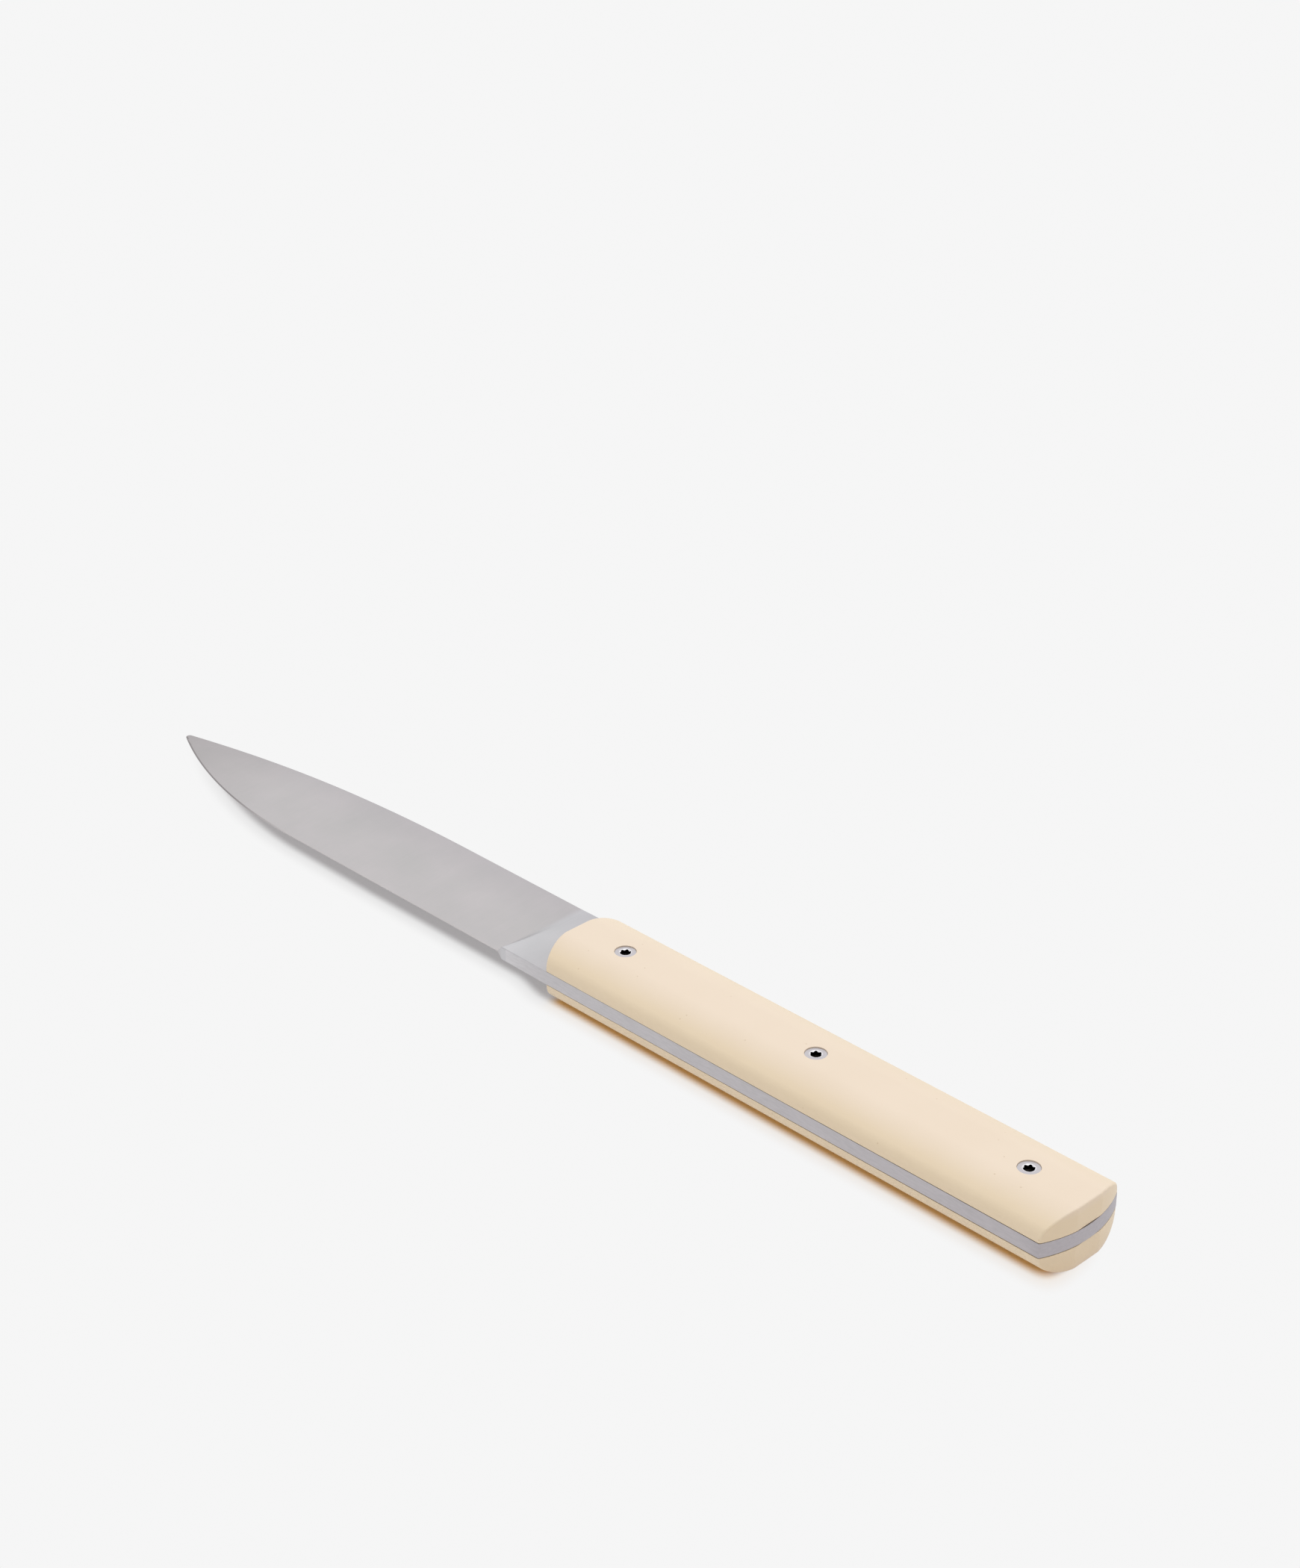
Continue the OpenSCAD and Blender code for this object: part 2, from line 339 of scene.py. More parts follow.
def make_steel(materials):
    """Blade, ricasso and tang in one, from the upper face, its mirror image and the rim between them."""
    stations = BLADE_STATIONS + PLUNGE_STATIONS + RICASSO_STATIONS + TANG_STATIONS + len(BUTT_ROWS)
    rows = len(EDGE_ROWS) + BLADE_ROWS + len(SPINE_ROWS)
    shape = bmesh.new()
    for vert, station, row in grid(shape, stations, rows):
        y = row_place(row, station_place(station, 0))
        x = station_place(station, y)
        vert.co = (x, y, half_thickness(x, y))
    bmesh.ops.remove_doubles(shape, verts=shape.verts, dist=MERGE)
    sheet = shape.verts[:] + shape.edges[:] + shape.faces[:]
    bmesh.ops.mirror(shape, geom=sheet, axis="Z", merge_dist=MIRROR_MERGE)
    bmesh.ops.bridge_loops(shape, edges=[edge for edge in shape.edges if edge.is_boundary])
    bmesh.ops.recalc_face_normals(shape, faces=shape.faces)
    hole_r = SLEEVE_R + SLEEVE_CLEAR
    drill = [(0, -2 * HALF_T), (hole_r, -2 * HALF_T), (hole_r, 2 * HALF_T), (0, 2 * HALF_T)]
    shape = carve(shape, [turned(drill, screw_place(place)) for place in PLACES])
    for face in shape.faces:
        middle = face.calc_center_median()
        if middle.x > PLUNGE_END and abs(face.normal.z) < RIM_TURN:
            face.material_index = RIM
        elif middle.x < PLUNGE_START and from_edge(middle.x, middle.y) < HONED_W:
            face.material_index = HONED
    bmesh.ops.translate(shape, vec=(0, 0, TANG_MIDDLE), verts=shape.verts)
    return to_piece(shape, "blade_and_tang", materials)


# Scales

FLANK_RUN = HALF_W - SHOULDER_R - HALF_LAND
FLANK_RISE = SCALE_T - SIDE_WALL
FLANK_R = (FLANK_RUN ** 2 + FLANK_RISE ** 2 - SHOULDER_R ** 2) / (2 * (FLANK_RISE - SHOULDER_R))
SHOULDER_STEPS = 18
FLANK_STEPS = 14
SOFT_STEPS = 6


def half_section():
    """Points across half a scale, from the seam to the land, each with its outward direction."""
    shoulder = Vector((HALF_W - SHOULDER_R, SIDE_WALL))
    flank = Vector((HALF_LAND, SCALE_T - FLANK_R))
    joint = shoulder - flank
    joint_angle = math.degrees(math.atan2(joint.y, joint.x))
    points = [((HALF_W, SEAM_GAP), (1, 0))]
    for centre, radius, start, stop, steps in (
        (shoulder, SHOULDER_R, 0, joint_angle, SHOULDER_STEPS),
        (flank, FLANK_R, joint_angle, 90, FLANK_STEPS),
    ):
        arc = quarter_round(centre, radius, start, stop, steps)
        ways = quarter_round((0, 0), 1, start, stop, steps)
        points += list(zip(arc, ways))
    return points


def end_rings():
    """Rings along a scale: which end each belongs to, its distance from it and the inset of the section."""
    softened = quarter_round((END_SOFT_R, 0), END_SOFT_R, 180, 90, SOFT_STEPS)
    front = [("front", along, END_SOFT_R - height) for along, height in softened]
    rear = [("rear", along, inset) for end, along, inset in reversed(front)]
    return front + rear


def make_scale_solid():
    """A scale that stands on the tang's face, taken as height zero, with a thin slot under its rim.

    The slot widens from the front to the butt.
    """
    half = half_section()
    section = half + [((-place[0], place[1]), (-way[0], way[1])) for place, way in reversed(half)]
    rings = end_rings()
    shape = bmesh.new()
    for vert, ring, row in grid(shape, len(rings), len(section)):
        end, along, inset = rings[ring]
        place, way = section[row]
        y = place[0] - way[0] * inset
        x = FRONT_ARC_X - arc_height(y, END_R) + along if end == "front" else butt_line(y) - along
        vert.co = (x, y, place[1] - way[1] * inset)
    above = SEAM_GAP + MERGE
    open_edges = [edge for edge in shape.edges if edge.is_boundary]
    ends = [edge for edge in open_edges if any(vert.co.z > above for vert in edge.verts)]
    for part in bmesh.ops.extrude_edge_only(shape, edges=ends)["geom"]:
        if isinstance(part, bmesh.types.BMVert):
            part.co.z = SEAM_GAP
    bmesh.ops.remove_doubles(shape, verts=shape.verts, dist=MERGE)
    rim = [edge for edge in shape.edges if edge.is_boundary]
    foot = bmesh.ops.edgeloop_fill(shape, edges=rim)["faces"]
    bmesh.ops.recalc_face_normals(shape, faces=shape.faces)
    bmesh.ops.inset_region(shape, faces=foot, thickness=SEAM_DEPTH, use_even_offset=True)
    grown = bmesh.ops.extrude_face_region(shape, geom=foot)["geom"]
    bmesh.ops.delete(shape, geom=foot, context="FACES_ONLY")
    lowered = [part for part in grown if isinstance(part, bmesh.types.BMVert)]
    bmesh.ops.translate(shape, vec=(0, 0, -SEAM_GAP), verts=lowered)
    for vert in shape.verts:
        if abs(vert.co.z - SEAM_GAP) < MERGE:
            to_butt = (vert.co.x - scale_low.x) / (scale_high.x - scale_low.x)
            vert.co.z = SEAM_GAP * (SEAM_FRONT + (1 - SEAM_FRONT) * to_butt)
    bmesh.ops.recalc_face_normals(shape, faces=shape.faces)
    return shape


def screw_hole(centre_x):
    """Cutter for a stepped hole: rim with a softened lip, countersink, passage and room for the sleeve."""
    rim_r = HEAD_R + HOLE_CLEAR
    cone_top = SCALE_T - HEAD_SINK - HEAD_RIM
    lip = quarter_round((rim_r + HOLE_SOFT, SCALE_T - HOLE_SOFT), HOLE_SOFT, 180, 90, HOLE_STEPS)
    pocket_r = SLEEVE_R + SLEEVE_CLEAR
    return turned([
        (0, -CUT_PAST), (pocket_r, -CUT_PAST), (pocket_r, SLEEVE_REACH), (PASS_R, SLEEVE_REACH),
        (PASS_R, cone_top - HEAD_R + PASS_R), (rim_r, cone_top + HOLE_CLEAR),
        *lip, (rim_r + HOLE_SOFT, SCALE_T + CUT_PAST), (0, SCALE_T + CUT_PAST),
    ], centre_x)


def to_side(shape, side):
    """Takes a shape from above the tang's middle plane to its own side of the knife."""
    if side == "lower":
        bmesh.ops.scale(shape, vec=(1, 1, -1), verts=shape.verts)
        bmesh.ops.recalc_face_normals(shape, faces=shape.faces)
    bmesh.ops.translate(shape, vec=(0, 0, TANG_MIDDLE), verts=shape.verts)


def make_scale(side, materials):
    shape = carve(make_scale_solid(), [screw_hole(screw_place(place)) for place in PLACES])
    bmesh.ops.translate(shape, vec=(0, 0, HALF_T), verts=shape.verts)
    to_side(shape, side)
    return to_piece(shape, f"{side}_ivory_scale", materials)


# Screws

HEAD_TOP = HALF_T + SCALE_T - HEAD_SINK
LOBE_STEPS = 96
LOBES = 6
DRILL_POINT = 0.3
SOCKET_FACE_MARGIN = 0.01
TIP_SOFT = 0.2


def six_lobe_socket(centre_x, turn):
    """Cutter for the six-lobe socket, turned by an angle, down to the shallow cone at its bottom."""
    middle_r = (SOCKET_R + SOCKET_ROOT_R) / 2
    swing = (SOCKET_R - SOCKET_ROOT_R) / 2
    shape = bmesh.new()
    for vert in bmesh.ops.create_circle(shape, cap_ends=True, segments=LOBE_STEPS, radius=1)["verts"]:
        vert.co *= middle_r + swing * math.cos(LOBES * (math.atan2(vert.co.y, vert.co.x) - turn))
    grown = bmesh.ops.extrude_face_region(shape, geom=shape.faces[:])["geom"]
    raised = [part for part in grown if isinstance(part, bmesh.types.BMVert)]
    bmesh.ops.translate(shape, vec=(0, 0, SOCKET_DEPTH + CUT_PAST), verts=raised)
    floor_face = [face for face in shape.faces if all(vert.co.z == 0 for vert in face.verts)]
    for vert in bmesh.ops.poke(shape, faces=floor_face)["verts"]:
        vert.co.z = -DRILL_POINT
    bmesh.ops.recalc_face_normals(shape, faces=shape.faces)
    bmesh.ops.translate(shape, vec=(centre_x, 0, HEAD_TOP - SOCKET_DEPTH), verts=shape.verts)
    return shape


def make_screw(place, side, materials):
    """A countersunk screw: rounded rim, flat turned face, mouth with a soft lip and six-lobe socket."""
    centre_x = screw_place(place)
    mouth_depth = (MOUTH_R - SOCKET_ROOT_R) * MOUTH_SLOPE
    cone_top = HEAD_TOP - HEAD_RIM
    rim = quarter_round((HEAD_R - HEAD_SOFT, HEAD_TOP - HEAD_SOFT), HEAD_SOFT, 0, 90, HEAD_STEPS)
    lip = quarter_round((LIP_R, HEAD_TOP - MOUTH_LIP), MOUTH_LIP, 90, 90 + MOUTH_ANGLE, LIP_STEPS)
    shape = turned([
        (0, SCREW_TIP), (SHANK_R - TIP_SOFT, SCREW_TIP), (SHANK_R, SCREW_TIP + TIP_SOFT),
        (SHANK_R, cone_top - HEAD_R + SHANK_R), (HEAD_R, cone_top), *rim,
        *lip, (SOCKET_ROOT_R, HEAD_TOP - mouth_depth), (0, HEAD_TOP - mouth_depth),
    ], centre_x)
    shape = carve(shape, [six_lobe_socket(centre_x, math.radians(PLACES[place]))])
    for face in shape.faces:
        middle = face.calc_center_median()
        reach = math.hypot(middle.x - centre_x, middle.y)
        below_mouth = middle.z < HEAD_TOP - (MOUTH_R - reach) * MOUTH_SLOPE - SOCKET_FACE_MARGIN
        face.material_index = int(reach < SOCKET_R and below_mouth and middle.z > cone_top - SOCKET_DEPTH)
    rings = shape.verts.layers.float.new("turning_radius")
    for vert in shape.verts:
        vert[rings] = math.hypot(vert.co.x - centre_x, vert.co.y)
    to_side(shape, side)
    return to_piece(shape, f"{place}_{side}_socket_screw", materials)


# Materials

def colour(code):
    """Linear colour from an sRGB hex value."""
    parts = [int(code[start:start + 2], 16) / 255 for start in (1, 3, 5)]
    return (*(((part + 0.055) / 1.055) ** 2.4 if part > 0.04045 else part / 12.92 for part in parts), 1)


def add(tree, kind, inputs, output=None, **settings):
    """Adds a node with its settings, and values or links on its inputs. Returns one of its outputs."""
    made = tree.nodes.new(kind)
    for name, value in settings.items():
        setattr(made, name, value)
    for name, value in inputs.items():
        usable = [socket for socket in made.inputs if socket.enabled]
        socket = usable[name] if isinstance(name, int) else next(one for one in usable if one.name == name)
        if isinstance(value, bpy.types.NodeSocket):
            tree.links.new(value, socket)
        else:
            socket.default_value = value
    shown = [socket for socket in made.outputs if socket.enabled]
    return next((socket for socket in shown if output in (None, socket.name)), None)


def new_material(name):
    made = bpy.data.materials.new(name)
    made.use_nodes = True
    made.node_tree.nodes.clear()
    return made, made.node_tree


def per_metre(size):
    """Scale of a pattern whose features have this size in millimetres."""
    return 1 / (size * MM)


# Sizes of the patterns, and depths of the grooves and pocks that they stand for, in millimetres
STEEL_CLOUDS = 9
STEEL_GROOVE = 0.01
RESIN_CLOUDS = 11
RESIN_SPECKS = 2.6
RESIN_GRAIN = 0.5
RESIN_POCK = 0.02
SOCKET_BLOTCHES = 0.4
RINGS_PER_MM = 9

# Span of the noise that goes from the dark to the light colour, and how far the roughness strays
MOTTLE = (0.3, 0.7)
ROUGH_STRAY = 0.03

# Edge of a speck as a share of its cell, its strength, and how far a face turns to count as a cut end
SPECK_EDGE = (0.035, 0.07)
SPECK_SHARE = 0.35
END_FACING = (0.6, 0.9)

# Where a darker tone begins and is full, in millimetres from the point, and its reach at the butt; on the
# honed edge the darker tone is painted shade
POINT_SHADE = (30, 0)
HONED_SHADE = (42, 25)
BUTT_SHADE = 4


def ground_steel(name, light, dark, roughness, grain, cloudy, shade=POINT_SHADE, at_point="#e8e7e7"):
    """Satin stainless with grinding lines, the size of whose grain is given along each axis in millimetres.

    The lines are finer than a pixel in truth, so they are drawn wider, and faint. They stretch the
    reflections a little, among slow, cloudy changes of brightness that take the given share. On the
    blade the grind is a little darker than the ricasso, and darker still towards the point, by the given
    reach and tone; on the honed edge that tone is painted shade, where the edge turns and reflects less
    light. Painted shade also darkens the steel towards the spine, and from the ricasso on towards the
    handle, beside the scales. Along the tang the steel is darker again, and more so at the butt.
    """
    made, tree = new_material(name)
    place = add(tree, "ShaderNodeTexCoord", {}, "Object")
    along = add(tree, "ShaderNodeSeparateXYZ", {"Vector": place}, "X")
    stretched = add(tree, "ShaderNodeMapping", {
        "Vector": place, "Scale": [per_metre(size) for size in grain],
    })
    lines = add(tree, "ShaderNodeTexNoise", {
        "Vector": stretched, "Scale": 1, "Detail": 3, "Roughness": 0.6,
    })
    clouds = add(tree, "ShaderNodeTexNoise", {
        "Vector": place, "Scale": per_metre(STEEL_CLOUDS), "Detail": 3,
    })
    mottle = add(tree, "ShaderNodeMix", {"Factor": cloudy, "A": lines, "B": clouds}, data_type="FLOAT")
    share = add(tree, "ShaderNodeMapRange", {
        "Value": mottle, "From Min": MOTTLE[0], "From Max": MOTTLE[1],
    })
    base = add(tree, "ShaderNodeMix", {
        "Factor": share, "A": colour(dark), "B": colour(light),
    }, data_type="RGBA")
    across = add(tree, "ShaderNodeSeparateXYZ", {"Vector": place}, "Y")
    leaned = add(tree, "ShaderNodeVectorMath", {
        0: place, 1: (1, -PLUNGE_LEAN, 0),
    }, "Value", operation="DOT_PRODUCT")
    plunge_top = PLUNGE_STOP + PLUNGE_LEAN * HALF_W
    # Tones multiplied in: the grind, the point, painted shade towards the spine, painted shade beside the
    # scales from the ricasso to the handle, and darker tones along the tang and at the butt
    for value, first, last, tone in (
        (leaned, plunge_top, plunge_top - PLUNGE_RUN, "#f2efed"),
        (along, POINT_X + shade[0], POINT_X + shade[1], at_point),
        (across, 0, HALF_W, "#f8f7f9"),
        (along, PLUNGE_END, HANDLE_FRONT, "#edecec"),
        (along, HANDLE_FRONT, scale_high.x, "#f3f0f1"),
        (along, butt_line(HALF_W) - BUTT_SHADE, butt_line(HALF_W), "#f6f5f6"),
    ):
        share = add(tree, "ShaderNodeMapRange", {
            "Value": value, "From Min": first * MM, "From Max": last * MM,
        })
        base = add(tree, "ShaderNodeMix", {
            "Factor": share, "A": base, "B": colour(tone),
        }, data_type="RGBA", blend_type="MULTIPLY")
    rough = add(tree, "ShaderNodeMapRange", {
        "Value": clouds, "To Min": roughness - ROUGH_STRAY, "To Max": roughness + ROUGH_STRAY,
    })
    bump = add(tree, "ShaderNodeBump", {"Height": lines, "Strength": 0.03, "Distance": STEEL_GROOVE * MM})
    shader = add(tree, "ShaderNodeBsdfPrincipled", {
        "Base Color": base, "Metallic": 1, "Roughness": rough, "Normal": bump,
    })
    add(tree, "ShaderNodeOutputMaterial", {"Surface": shader})
    return made


def ivory_resin():
    """Moulded ivory resin: a warm satin plastic, faintly clouded, with a fine grain and rare dark specks.

    Painted shade makes it a little yellower down the sides than on the crown, for the warmer light they
    get, and a little darker on the upright cut ends.
    """
    made, tree = new_material("moulded_ivory_resin")
    place = add(tree, "ShaderNodeTexCoord", {}, "Object")
    clouds = add(tree, "ShaderNodeTexNoise", {
        "Vector": place, "Scale": per_metre(RESIN_CLOUDS), "Detail": 3,
    })
    base = add(tree, "ShaderNodeMix", {
        "Factor": clouds, "A": colour("#efdcc5"), "B": colour("#f3e1cc"),
    }, data_type="RGBA")
    cells = add(tree, "ShaderNodeTexVoronoi", {
        "Vector": place, "Scale": per_metre(RESIN_SPECKS),
    }, "Distance")
    speck = add(tree, "ShaderNodeMapRange", {
        "Value": cells, "From Min": SPECK_EDGE[0], "From Max": SPECK_EDGE[1],
        "To Min": SPECK_SHARE, "To Max": 0,
    })
    specked = add(tree, "ShaderNodeMix", {
        "Factor": speck, "A": base, "B": colour("#c3a47c"),
    }, data_type="RGBA")
    height = add(tree, "ShaderNodeSeparateXYZ", {"Vector": place}, "Z")
    from_middle = add(tree, "ShaderNodeMath", {0: height, 1: TANG_MIDDLE * MM}, operation="SUBTRACT")
    from_tang = add(tree, "ShaderNodeMath", {0: from_middle}, operation="ABSOLUTE")
    down_side = add(tree, "ShaderNodeMapRange", {
        "Value": from_tang, "From Min": (HALF_T + SCALE_T) * MM, "From Max": (HALF_T + SHOULDER_R) * MM,
    })
    # Painted shade: the sides are drawn a little yellower than the crown
    painted_side_shade = add(tree, "ShaderNodeMix", {
        "Factor": down_side, "A": specked, "B": colour("#fffdf2"),
    }, data_type="RGBA", blend_type="MULTIPLY")
    facing = add(tree, "ShaderNodeTexCoord", {}, "Normal")
    facing_end = add(tree, "ShaderNodeSeparateXYZ", {"Vector": facing}, "X")
    turned_away = add(tree, "ShaderNodeMath", {0: facing_end}, operation="ABSOLUTE")
    on_end = add(tree, "ShaderNodeMapRange", {
        "Value": turned_away, "From Min": END_FACING[0], "From Max": END_FACING[1],
    })
    # Painted shade: the upright cut ends are drawn a little darker
    cut = add(tree, "ShaderNodeMix", {
        "Factor": on_end, "A": painted_side_shade, "B": colour("#f7f5f3"),
    }, data_type="RGBA", blend_type="MULTIPLY")
    grain = add(tree, "ShaderNodeTexNoise", {
        "Vector": place, "Scale": per_metre(RESIN_GRAIN), "Detail": 2,
    })
    rough = add(tree, "ShaderNodeMapRange", {"Value": clouds, "To Min": 0.33, "To Max": 0.42})
    bump = add(tree, "ShaderNodeBump", {"Height": grain, "Strength": 0.06, "Distance": RESIN_POCK * MM})
    shader = add(tree, "ShaderNodeBsdfPrincipled", {
        "Base Color": cut, "Roughness": rough, "IOR": 1.56, "Normal": bump,
    })
    add(tree, "ShaderNodeOutputMaterial", {"Surface": shader})
    return made


def turned_steel():
    """Stainless screw heads faced on a lathe: grey satin, fine rings and a painted highlight on the rim of
    the mouth.
    """
    made, tree = new_material("turned_stainless")
    radius = add(tree, "ShaderNodeAttribute", {}, "Fac", attribute_name="turning_radius")
    rings = add(tree, "ShaderNodeTexNoise", {
        "W": radius, "Scale": RINGS_PER_MM, "Detail": 3,
    }, noise_dimensions="1D")
    base = add(tree, "ShaderNodeMix", {
        "Factor": rings, "A": colour("#c0bcbf"), "B": colour("#d3cfd3"),
    }, data_type="RGBA")
    # Painted highlight: the rim of the mouth is drawn lighter
    at_mouth = add(tree, "ShaderNodeMapRange", {
        "Value": radius, "From Min": LIP_R + LIP_HIGHLIGHT_W, "From Max": LIP_R,
    }, interpolation_type="SMOOTHSTEP")
    painted_lip_highlight = add(tree, "ShaderNodeMix", {
        "Factor": at_mouth, "A": base, "B": colour("#efedf0"),
    }, data_type="RGBA")
    rough = add(tree, "ShaderNodeMapRange", {"Value": rings, "To Min": 0.26, "To Max": 0.4})
    bump = add(tree, "ShaderNodeBump", {"Height": rings, "Strength": 0.15, "Distance": STEEL_GROOVE * MM})
    shader = add(tree, "ShaderNodeBsdfPrincipled", {
        "Base Color": painted_lip_highlight, "Metallic": 1, "Roughness": rough, "Normal": bump,
    })
    add(tree, "ShaderNodeOutputMaterial", {"Surface": shader})
    return made


def socket_steel():
    """The pressed socket's walls are drawn almost black, with a small glint."""
    made, tree = new_material("pressed_socket_steel")
    place = add(tree, "ShaderNodeTexCoord", {}, "Object")
    socket_blotches = add(tree, "ShaderNodeTexNoise", {
        "Vector": place, "Scale": per_metre(SOCKET_BLOTCHES), "Detail": 2,
    })
    base = add(tree, "ShaderNodeMix", {
        "Factor": socket_blotches, "A": colour("#1f1d1c"), "B": colour("#3a3634"),
    }, data_type="RGBA")
    shader = add(tree, "ShaderNodeBsdfPrincipled", {"Base Color": base, "Metallic": 1, "Roughness": 0.3})
    add(tree, "ShaderNodeOutputMaterial", {"Surface": shader})
    return made


# Floor, light and camera

PALE = 0.92
FLOOR_REACH = 4
FLOOR_DROP = 0.02
# The shadow fades in a narrow core and a wide tail, in millimetres past the outline of the knife
SHADOW_CORE = (-2.5, -0.3)
SHADOW_TAIL = (-1.5, 2.5)
CORE_SHARE = 0.8
SHADOW_BESIDE_BLADE = 1.6
SHADOW_BESIDE_POINT = 1
SHADOW_BESIDE_BUTT = -0.1
SHADOW_BEHIND_SPINE = -6
# Beside the butt its arc is centred off the middle, towards the cutting edge, and the corner between
# that arc and the side is rounded
SHADOW_BUTT_Y = -5.4
SHADOW_CORNER = 4.5
# Share of white that is left in the deepest shadow
LEAST_UNDER_BLADE = 0.26
LEAST_UNDER_HANDLE = 0.03
# The paper under the handle is painted with the warm light that the resin throws into its shadow; this is
# how much of that painted colour it throws back
TINT_BOUNCE = 0.35
# Share of the painted warm light that is left where the shadow ends
TINT_TAIL = 0.2
# The shadow and its painted warm light change from blade to handle between the first two places along the
# knife, and the shadow narrows from the third one to the point
UNDER_BLADE = HANDLE_FRONT - 2
UNDER_HANDLE = HANDLE_FRONT + 1
FORE_BLADE = EDGE_CENTRE.x + 20
# Light of the tent: its level, how it changes along each axis, and the lamp's way, spread and level
SKY_LEVEL = 0.6
SKY_TILT = (-0.18, 0.22, 0.3)
LAMP_WAY = Vector((0.1, 0.08, 1)).normalized()
LAMP_SPREAD = (0.78, 0.95)
LAMP_LEVEL = 0.8


def floor_material():
    """Matt white paper that glows plain white to the eye, but shows its lit shadow in a band along the
    knife, so the shadow fades to plain white close beside the knife.

    To the eye the paper in the shadow is painted greyer than the light it throws back, as in a hard print,
    and under the handle it is painted with the warm light that the resin throws down into its shadow.
    """
    made, tree = new_material("matt_white_paper")
    place = add(tree, "ShaderNodeTexCoord", {}, "Object")
    along = add(tree, "ShaderNodeSeparateXYZ", {"Vector": place}, "X")
    before_arc = add(tree, "ShaderNodeVectorMath", {
        0: place, 1: (EDGE_CENTRE.x * MM, FLOOR_REACH, 0),
    }, operation="MINIMUM")
    to_centre = add(tree, "ShaderNodeVectorMath", {
        0: before_arc, 1: (EDGE_CENTRE.x * MM, EDGE_CENTRE.y * MM, 0),
    }, "Value", operation="DISTANCE")
    past_edge = add(tree, "ShaderNodeMath", {0: to_centre, 1: EDGE_R * MM}, operation="SUBTRACT")
    under_handle = add(tree, "ShaderNodeMapRange", {
        "Value": along, "From Min": UNDER_BLADE * MM, "From Max": UNDER_HANDLE * MM,
    }, interpolation_type="SMOOTHSTEP")
    least = add(tree, "ShaderNodeMapRange", {
        "Value": under_handle, "To Min": LEAST_UNDER_BLADE, "To Max": LEAST_UNDER_HANDLE,
    })
    beside_blade = add(tree, "ShaderNodeMapRange", {
        "Value": along, "From Min": UNDER_BLADE * MM, "From Max": PLUNGE_STOP * MM,
        "To Min": 0, "To Max": SHADOW_BESIDE_BLADE * MM,
    }, interpolation_type="SMOOTHSTEP")
    beside_point = add(tree, "ShaderNodeMapRange", {
        "Value": along, "From Min": FORE_BLADE * MM, "From Max": POINT_X * MM,
        "To Min": 0, "To Max": SHADOW_BESIDE_POINT * MM,
    })
    past_heel = add(tree, "ShaderNodeMath", {0: past_edge, 1: beside_blade}, operation="ADD")
    past_side = add(tree, "ShaderNodeMath", {0: past_heel, 1: beside_point}, operation="ADD")
    after_arc = add(tree, "ShaderNodeVectorMath", {
        0: place, 1: (REAR_ARC_X * MM, -FLOOR_REACH, 0),
    }, operation="MAXIMUM")
    to_butt = add(tree, "ShaderNodeVectorMath", {
        0: after_arc, 1: (REAR_ARC_X * MM, SHADOW_BUTT_Y * MM, 0),
    }, "Value", operation="DISTANCE")
    past_butt = add(tree, "ShaderNodeMath", {
        0: to_butt, 1: (END_R - SHADOW_BESIDE_BUTT) * MM,
    }, operation="SUBTRACT")
    across = add(tree, "ShaderNodeSeparateXYZ", {"Vector": place}, "Y")
    past_spine = add(tree, "ShaderNodeMath", {
        0: across, 1: (HALF_W + SHADOW_BEHIND_SPINE) * MM,
    }, operation="SUBTRACT")
    past_sides = add(tree, "ShaderNodeMath", {0: past_side, 1: past_spine}, operation="MAXIMUM")
    past = add(tree, "ShaderNodeMath", {
        0: past_sides, 1: past_butt, 2: SHADOW_CORNER * MM,
    }, operation="SMOOTH_MAX")
    core = add(tree, "ShaderNodeMapRange", {
        "Value": past, "From Min": SHADOW_CORE[0] * MM, "From Max": SHADOW_CORE[1] * MM,
        "To Min": least, "To Max": CORE_SHARE,
    }, interpolation_type="SMOOTHSTEP")
    tail = add(tree, "ShaderNodeMapRange", {
        "Value": past, "From Min": SHADOW_TAIL[0] * MM, "From Max": SHADOW_TAIL[1] * MM,
        "To Max": 1 - CORE_SHARE,
    }, interpolation_type="SMOOTHSTEP")
    clear = add(tree, "ShaderNodeMath", {0: core, 1: tail}, operation="ADD")
    seen = add(tree, "ShaderNodeLightPath", {}, "Is Camera Ray")
    mirrored = add(tree, "ShaderNodeLightPath", {}, "Is Glossy Ray")
    direct = add(tree, "ShaderNodeMath", {0: seen, 1: mirrored}, operation="MAXIMUM")
    plain = add(tree, "ShaderNodeMath", {0: clear, 1: direct}, operation="MULTIPLY")
    scattered = add(tree, "ShaderNodeLightPath", {}, "Is Diffuse Ray")
    warmth = add(tree, "ShaderNodeMapRange", {"Value": scattered, "To Min": 1, "To Max": TINT_BOUNCE})
    fading = add(tree, "ShaderNodeMapRange", {
        "Value": past, "From Min": SHADOW_TAIL[0] * MM, "From Max": SHADOW_TAIL[1] * MM,
        "To Min": 1, "To Max": TINT_TAIL,
    })
    near_handle = add(tree, "ShaderNodeMath", {0: under_handle, 1: fading}, operation="MULTIPLY")
    painted_glow_share = add(tree, "ShaderNodeMath", {0: near_handle, 1: warmth}, operation="MULTIPLY")
    # Painted shade: to the eye the paper is drawn greyer in its shadow
    white = add(tree, "ShaderNodeMix", {
        "Factor": seen, "A": colour("#f6f6f6"), "B": colour("#cac3c5"),
    }, data_type="RGBA")
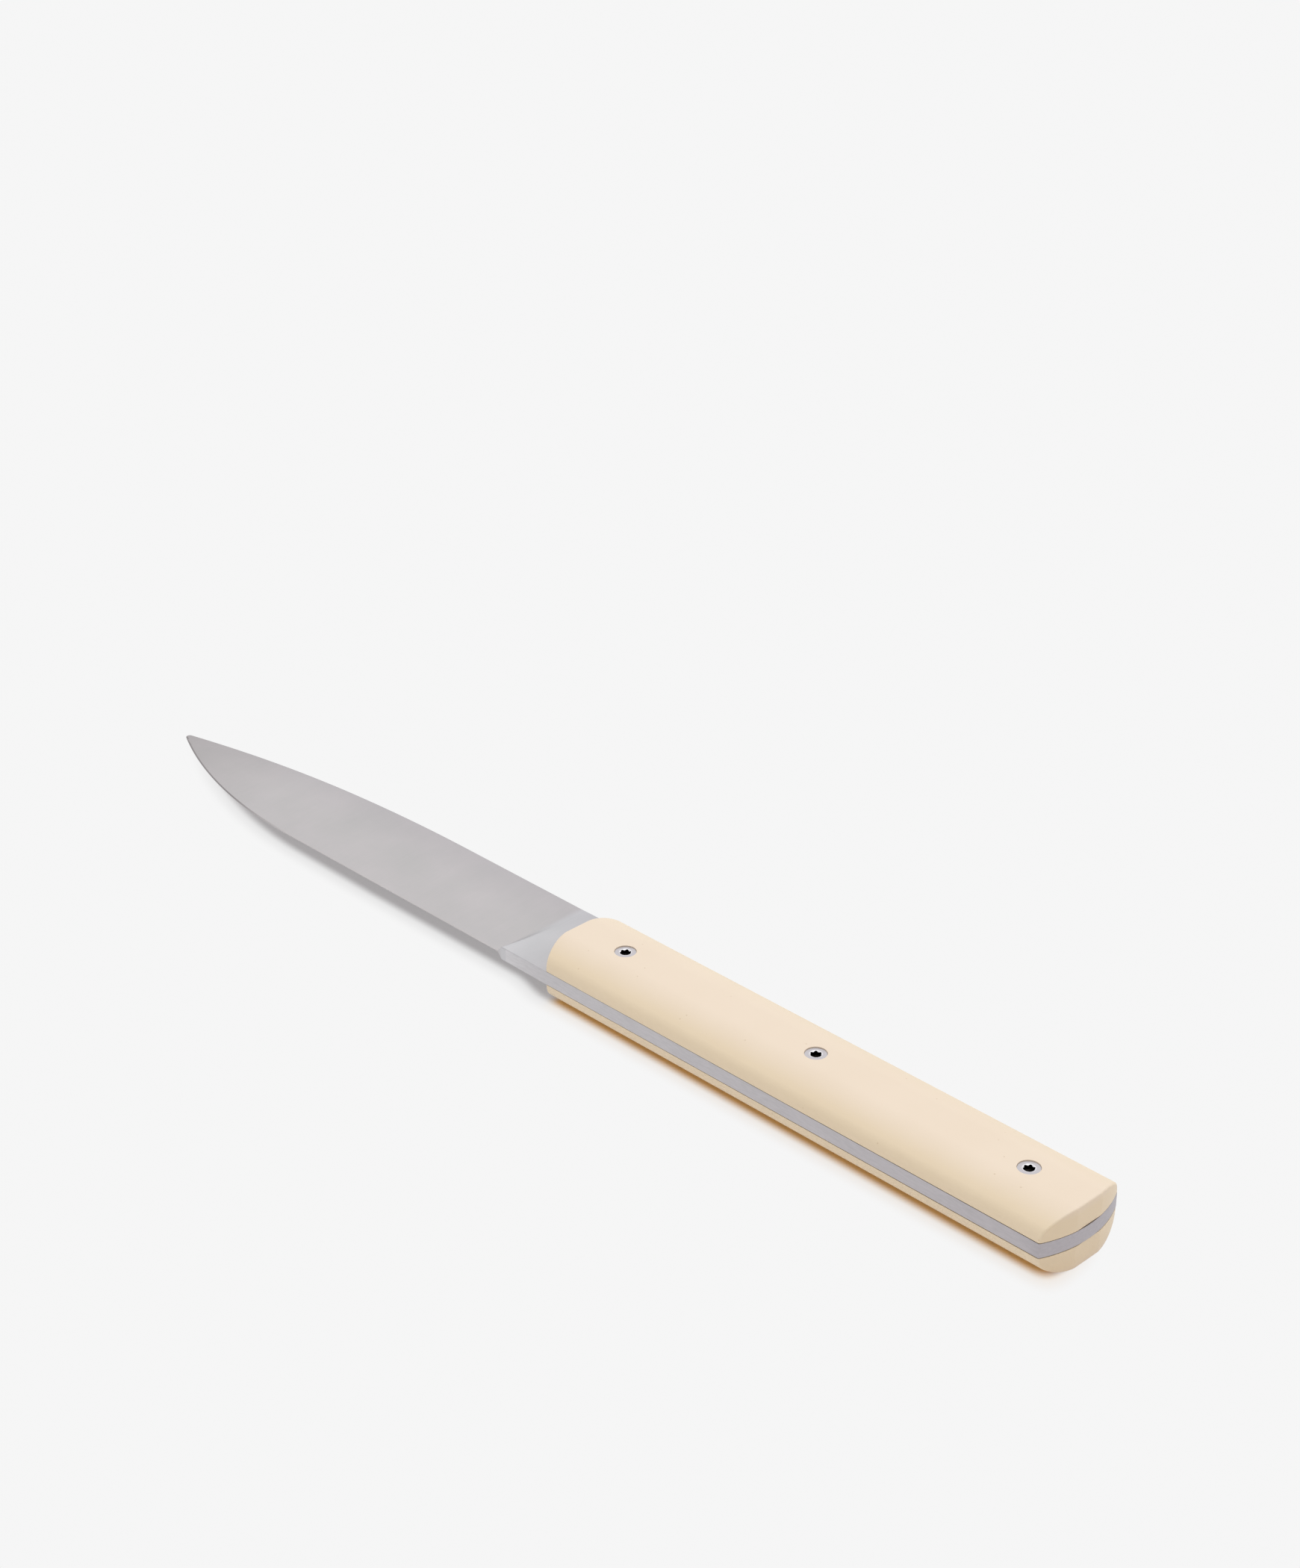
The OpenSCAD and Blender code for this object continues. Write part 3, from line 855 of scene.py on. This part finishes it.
    # Painted light: the paper under the handle is drawn in the warm light that the resin throws down
    painted_glow_paper = add(tree, "ShaderNodeMix", {
        "Factor": painted_glow_share, "A": white, "B": colour("#fbc869"),
    }, data_type="RGBA")
    paper = add(tree, "ShaderNodeBsdfDiffuse", {"Color": painted_glow_paper})
    glow = add(tree, "ShaderNodeEmission", {"Color": colour("#ffffff"), "Strength": PALE})
    shader = add(tree, "ShaderNodeMixShader", {0: plain, 1: paper, 2: glow})
    add(tree, "ShaderNodeOutputMaterial", {"Surface": shader})
    return made


def make_floor():
    shape = bmesh.new()
    bmesh.ops.create_grid(shape, x_segments=1, y_segments=1, size=FLOOR_REACH)
    bmesh.ops.translate(shape, vec=(0, 0, -FLOOR_DROP * MM), verts=shape.verts)
    mesh = bpy.data.meshes.new("paper_floor")
    shape.to_mesh(mesh)
    shape.free()
    mesh.materials.append(floor_material())
    made = bpy.data.objects.new("paper_floor", mesh)
    bpy.context.scene.collection.objects.link(made)


def make_light():
    """A white tent all round the knife, brighter above and on its far side, with a soft lamp overhead."""
    world = bpy.data.worlds.new("light_tent")
    world.use_nodes = True
    tree = world.node_tree
    tree.nodes.clear()
    way = add(tree, "ShaderNodeTexCoord", {}, "Generated")
    tilt = add(tree, "ShaderNodeVectorMath", {0: way, 1: SKY_TILT}, "Value", operation="DOT_PRODUCT")
    sky = add(tree, "ShaderNodeMath", {0: tilt, 1: SKY_LEVEL}, operation="ADD")
    towards = add(tree, "ShaderNodeVectorMath", {0: way, 1: LAMP_WAY}, "Value", operation="DOT_PRODUCT")
    lamp = add(tree, "ShaderNodeMapRange", {
        "Value": towards, "From Min": LAMP_SPREAD[0], "From Max": LAMP_SPREAD[1], "To Max": LAMP_LEVEL,
    }, interpolation_type="SMOOTHSTEP")
    level = add(tree, "ShaderNodeMath", {0: sky, 1: lamp}, operation="ADD")
    tent = add(tree, "ShaderNodeBackground", {"Color": colour("#ffffff"), "Strength": level})
    backdrop = add(tree, "ShaderNodeBackground", {"Color": colour("#ffffff"), "Strength": PALE})
    seen = add(tree, "ShaderNodeLightPath", {}, "Is Camera Ray")
    both = add(tree, "ShaderNodeMixShader", {0: seen, 1: tent, 2: backdrop})
    add(tree, "ShaderNodeOutputWorld", {"Surface": both})
    bpy.context.scene.world = world


CAMERA_AIM = Vector((-32.89, 49.74, 5.35))
CAMERA_AZIMUTH = math.radians(45.436)
CAMERA_ELEVATION = math.radians(28.315)
CAMERA_DISTANCE = 553.65
CAMERA_LENS = 70


def make_camera():
    back = Vector((
        math.sin(CAMERA_AZIMUTH) * math.cos(CAMERA_ELEVATION),
        -math.cos(CAMERA_AZIMUTH) * math.cos(CAMERA_ELEVATION),
        math.sin(CAMERA_ELEVATION),
    ))
    lens = bpy.data.cameras.new("photo_camera")
    lens.lens = CAMERA_LENS
    made = bpy.data.objects.new("photo_camera", lens)
    made.location = (CAMERA_AIM + back * CAMERA_DISTANCE) * MM
    made.rotation_euler = back.to_track_quat("Z", "Y").to_euler()
    bpy.context.scene.collection.objects.link(made)
    bpy.context.scene.camera = made


def dress(piece, node):
    """Puts a finished piece in the place of its CAD node."""
    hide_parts(node)
    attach(piece, "root")


# Lines across the blade, lines along the rim of the tang and a honed edge with painted shade towards the
# point
blade_steel = ground_steel(
    "satin_ground_stainless", "#d1cfd2", "#c8c8ca", roughness=0.38,
    grain=(0.35, 9, 9), cloudy=0.75,
)
rim_steel = ground_steel(
    "belt_ground_stainless", "#dcd9dc", "#cccacc", roughness=0.36,
    grain=(1.6, 0.7, 0.25), cloudy=0.3,
)
edge_steel = ground_steel(
    "honed_edge_stainless", "#d3d1d3", "#c7c5c7", roughness=0.42,
    grain=(0.35, 0.6, 0.6), cloudy=0.75, shade=HONED_SHADE, at_point="#c5c3c4",
)
resin = ivory_resin()
screw_steel = turned_steel()
recess_steel = socket_steel()

dress(make_steel([blade_steel, rim_steel, edge_steel]), "steel_blank")
for side in SIDES:
    dress(make_scale(side, [resin]), f"{side}_scale")
    for place in PLACES:
        dress(make_screw(place, side, [screw_steel, recess_steel]), f"{place}_{side}_screw")
for place in PLACES:
    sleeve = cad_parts[f"{place}_sleeve"]
    sleeve.data.materials.clear()
    sleeve.data.materials.append(screw_steel)

make_floor()
make_light()
make_camera()
bpy.context.scene.view_settings.view_transform = "Standard"
